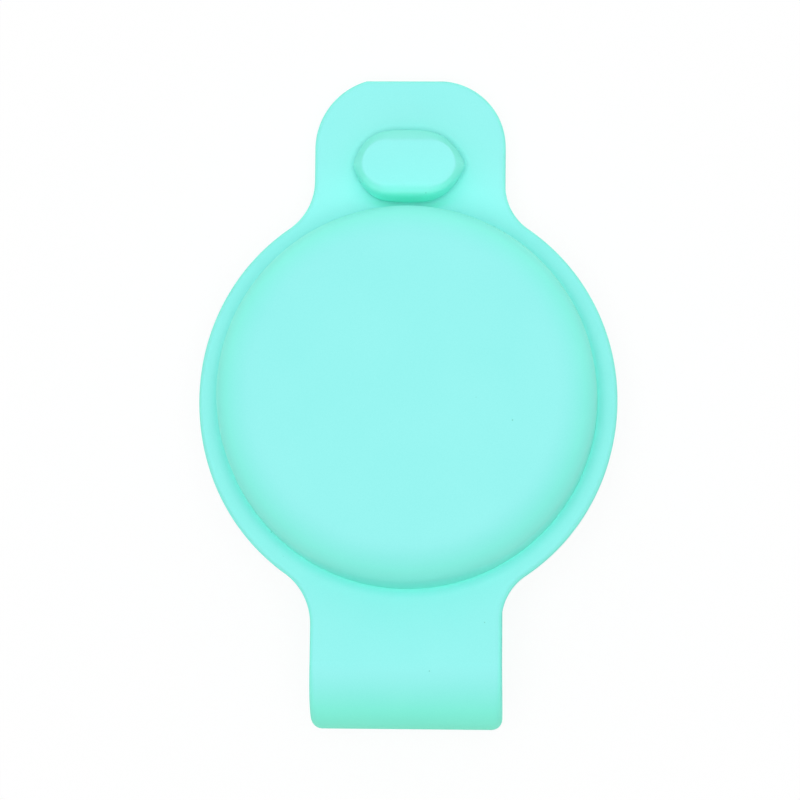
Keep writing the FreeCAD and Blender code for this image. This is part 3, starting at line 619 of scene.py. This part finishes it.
# Materials of the tag's pieces, with their pattern's pitch along X, Y and Z and its height in millimetres.
finishes = {
    # injection-moulded ABS, polished mould: clean white with a soft mirror gloss and faint flow marks
    "polished_white_abs": {"colours": ("#F1F1EE", "#F6F6F4"), "metallic": 0, "ior": 1.54,
                           "roughness": (0.1, 0.2), "pitch": (6.0, 6.0, 6.0), "height": 0.002},
    # the same ABS off a spark-eroded mould: satin and finely pebbled, so that it grips
    "satin_white_abs": {"colours": ("#ECECE8", "#F3F3F0"), "metallic": 0, "ior": 1.54,
                        "roughness": (0.34, 0.46), "pitch": (0.25, 0.25, 0.25), "height": 0.006},
    # stainless sheet brushed along X: grey streaks, drawn about five times as coarse as real ones
    "brushed_stainless_steel": {"colours": ("#B9B9B7", "#CFCFCD"), "metallic": 1,
                                "roughness": (0.22, 0.36), "pitch": (6.0, 0.15, 0.15), "height": 0.002},
    # die-cut nitrile sheet: dull black, a little mottled
    "black_nitrile_rubber": {"colours": ("#19191A", "#252526"), "metallic": 0, "ior": 1.52,
                             "roughness": (0.7, 0.85), "pitch": (0.4, 0.4, 0.4), "height": 0.01},
    # nickel plate on deep-drawn steel: warm silver with soft drawing marks round the can
    "nickel_plated_steel": {"colours": ("#C6C3BC", "#D8D5CE"), "metallic": 1,
                            "roughness": (0.16, 0.28), "pitch": (3.0, 3.0, 0.3), "height": 0.002},
    # gold flash on spring bronze: yellow, slightly cloudy mirror
    "gilt_spring_bronze": {"colours": ("#D2A94F", "#E3C06C"), "metallic": 1,
                           "roughness": (0.14, 0.26), "pitch": (0.5, 0.5, 0.5), "height": 0.001},
    # solder mask over fibreglass: glossy green that pools lighter and darker over the copper and the weave
    "green_solder_mask": {"colours": ("#124A2A", "#1F6A3F"), "metallic": 0, "ior": 1.52,
                          "roughness": (0.2, 0.32), "pitch": (0.7, 0.7, 0.7), "height": 0.008},
    # transfer-moulded epoxy: charcoal with a fine dry grain
    "moulded_black_epoxy": {"colours": ("#1E1F21", "#2C2D2F"), "metallic": 0, "ior": 1.55,
                            "roughness": (0.48, 0.62), "pitch": (0.2, 0.2, 0.2), "height": 0.006},
    # rolled brass strip: yellow metal with streaks along the rolling direction
    "rolled_brass": {"colours": ("#B08D45", "#CBA75B"), "metallic": 1,
                     "roughness": (0.24, 0.38), "pitch": (5.0, 0.2, 0.2), "height": 0.002},
    # fired piezo ceramic: off-white, dry and finely granular
    "fired_white_ceramic": {"colours": ("#DAD6CB", "#E8E5DC"), "metallic": 0, "ior": 1.6,
                            "roughness": (0.5, 0.65), "pitch": (0.2, 0.2, 0.2), "height": 0.004},
}
pattern = {"detail": 3.0, "roughness": 0.55, "strength": 0.5}  # of the noise in all of them
tagPieces = {
    "tag_front_shell": "polished_white_abs", "tag_back_ring": "satin_white_abs",
    "tag_battery_cover": "brushed_stainless_steel", "cover_seal": "black_nitrile_rubber",
    "coin_cell": "nickel_plated_steel", "battery_contacts": "gilt_spring_bronze",
    "circuit_board": "green_solder_mask", "board_components": "moulded_black_epoxy",
    "sounder_plate": "rolled_brass", "sounder_ceramic": "fired_white_ceramic",
    "sounder_contacts": "gilt_spring_bronze",
}


def tagFinish(name):
    # noise with its own pitch along each axis moves the colour, the roughness and the surface together
    finish = finishes[name]
    material, tree = newMaterial(name)
    where = addNode(tree, "ShaderNodeTexCoord").outputs["Object"]
    scaled = addNode(tree, "ShaderNodeMapping", {"Vector": where},
                     {"Scale": [1 / (step * mm) for step in finish["pitch"]]})
    noise = addNode(tree, "ShaderNodeTexNoise", {"Vector": scaled.outputs["Vector"]},
                    {"Scale": 1.0, "Detail": pattern["detail"], "Roughness": pattern["roughness"]})
    colour = addNode(tree, "ShaderNodeMix", {"Factor": noise.outputs["Fac"]},
                     {"A": toLinear(finish["colours"][0]), "B": toLinear(finish["colours"][1])},
                     data_type="RGBA")
    gloss = addNode(tree, "ShaderNodeMapRange", {"Value": noise.outputs["Fac"]},
                    {"To Min": finish["roughness"][0], "To Max": finish["roughness"][1]})
    bump = addNode(tree, "ShaderNodeBump", {"Height": noise.outputs["Fac"]},
                   {"Strength": pattern["strength"], "Distance": finish["height"] * mm})
    skin = addNode(tree, "ShaderNodeBsdfPrincipled",
                   {"Base Color": colour.outputs["Result"], "Roughness": gloss.outputs["Result"],
                    "Normal": bump.outputs["Normal"]}, {"Metallic": finish["metallic"]})
    if "ior" in finish:
        skin.inputs["IOR"].default_value = finish["ior"]
    addNode(tree, "ShaderNodeOutputMaterial", {"Surface": skin.outputs["BSDF"]})
    return material


tagMaterials = {name: tagFinish(name) for name in finishes}
for node, name in tagPieces.items():
    frame["nodes"][node].data.materials.clear()
    frame["nodes"][node].data.materials.append(tagMaterials[name])
print("tag:", len(tagPieces), "pieces finished")

stage = {
    "size": 0.6,      # of the floor, in metres
    "card": "#FAFAFA", "white": "#FFFFFF",
    "shadow": 0.1,    # share of the card's own shading that the camera sees
    "ambient": 0.37,  # level of the light from all round
    "bounces": 16,    # light goes on bouncing in the pale creases
    # level, lean to the tab's side and width as the object sees it, in degrees
    "softboxes": {
        "overhead_softbox": {"level": 0.56, "lean": 0.0, "width": 46.0},
        "rear_softbox": {"level": 0.15, "lean": 50.0, "width": 60.0},
    },
}


def paleFloor():
    # Pale card: for the camera mostly plain white with part of its own shading, so that the shadow stays.
    material, tree = newMaterial("pale_card")
    path = addNode(tree, "ShaderNodeLightPath")
    card = addNode(tree, "ShaderNodeBsdfDiffuse", inputs={"Color": toLinear(stage["card"])})
    white = addNode(tree, "ShaderNodeEmission", inputs={"Color": toLinear(stage["white"]), "Strength": 1.0})
    soft = addNode(tree, "ShaderNodeMixShader", {1: white.outputs["Emission"], 2: card.outputs["BSDF"]},
                   {"Fac": stage["shadow"]})
    shown = addNode(tree, "ShaderNodeMixShader", {"Fac": path.outputs["Is Camera Ray"],
                                                  1: card.outputs["BSDF"], 2: soft.outputs["Shader"]})
    addNode(tree, "ShaderNodeOutputMaterial", {"Surface": shown.outputs["Shader"]})
    return material


halfFloor = stage["size"] / 2
floorSigns = ((-1, -1), (1, -1), (1, 1), (-1, 1))
floorMesh = bpy.data.meshes.new("floor")
floorMesh.from_pydata([(x * halfFloor, y * halfFloor, 0) for x, y in floorSigns], [], [(0, 1, 2, 3)])
floorMesh.materials.append(paleFloor())
floor = bpy.data.objects.new("floor", floorMesh)
scene.collection.objects.link(floor)

# The world lights faces at the ambient level, and is white to camera, glossy and transmission rays.
world = bpy.data.worlds.new("studio")
scene.world = world
world.use_nodes = True
sky = world.node_tree
sky.nodes.clear()
path = addNode(sky, "ShaderNodeLightPath")
seen = addNode(sky, "ShaderNodeMath", {0: path.outputs["Is Camera Ray"], 1: path.outputs["Is Glossy Ray"]},
               operation="MAXIMUM")
seen = addNode(sky, "ShaderNodeMath", {0: seen.outputs[0], 1: path.outputs["Is Transmission Ray"]},
               operation="MAXIMUM")
level = addNode(sky, "ShaderNodeMapRange", {"Value": seen.outputs[0]},
                {"To Min": stage["ambient"], "To Max": 1.0})
glow = addNode(sky, "ShaderNodeBackground", {"Strength": level.outputs["Result"]},
               {"Color": toLinear(stage["white"])})
addNode(sky, "ShaderNodeOutputWorld", {"Surface": glow.outputs["Background"]})

for name, softbox in stage["softboxes"].items():
    lamp = bpy.data.lights.new(name, "SUN")
    lamp.energy = math.pi * softbox["level"]  # a white face towards it comes out at the level
    lamp.angle = math.radians(softbox["width"])
    lampPiece = bpy.data.objects.new(name, lamp)
    lampPiece.rotation_euler = (-math.radians(softbox["lean"]), 0, 0)
    scene.collection.objects.link(lampPiece)

view = {  # where the photograph was taken from
    "distance": 310.0, "leanRight": 2.237, "leanTab": 1.999, "roll": 0.25,  # mm and degrees
    "scale": 10.838, "aim": (407.75, 399.3),  # pixels per mm at the pouch's middle, and its pixel
    "image": 800, "sensor": 36.0,             # pixels across, mm
    "clip": (0.01, 10.0),                     # metres
}
leans = [math.radians(view[key]) for key in ("leanRight", "leanTab")]
towards = np.array([math.tan(leans[0]), math.tan(leans[1]), 1.0])
towards /= np.linalg.norm(towards)
roll = math.radians(view["roll"])
upwards = np.array([-math.sin(roll), math.cos(roll), 0.0])
upwards -= towards * (upwards @ towards)
upwards /= np.linalg.norm(upwards)
sideways = np.cross(upwards, towards)
offsetRight = (view["aim"][0] - view["image"] / 2) / view["scale"]
offsetUp = (view["image"] / 2 - view["aim"][1]) / view["scale"]
eye = pouchMiddle + mm * (view["distance"] * towards - offsetRight * sideways - offsetUp * upwards)
cameraData = bpy.data.cameras.new("camera")
cameraData.sensor_width = view["sensor"]
cameraData.lens = view["scale"] * view["distance"] / view["image"] * view["sensor"]
cameraData.clip_start, cameraData.clip_end = view["clip"]
camera = bpy.data.objects.new("camera", cameraData)
pose = np.eye(4)
pose[:3] = np.stack([sideways, upwards, towards, eye], -1)
camera.matrix_world = Matrix(pose.tolist())
scene.collection.objects.link(camera)
scene.camera = camera
scene.view_settings.view_transform = "Standard"
scene.cycles.diffuse_bounces = stage["bounces"]
scene.cycles.max_bounces = stage["bounces"]
print("stage set")
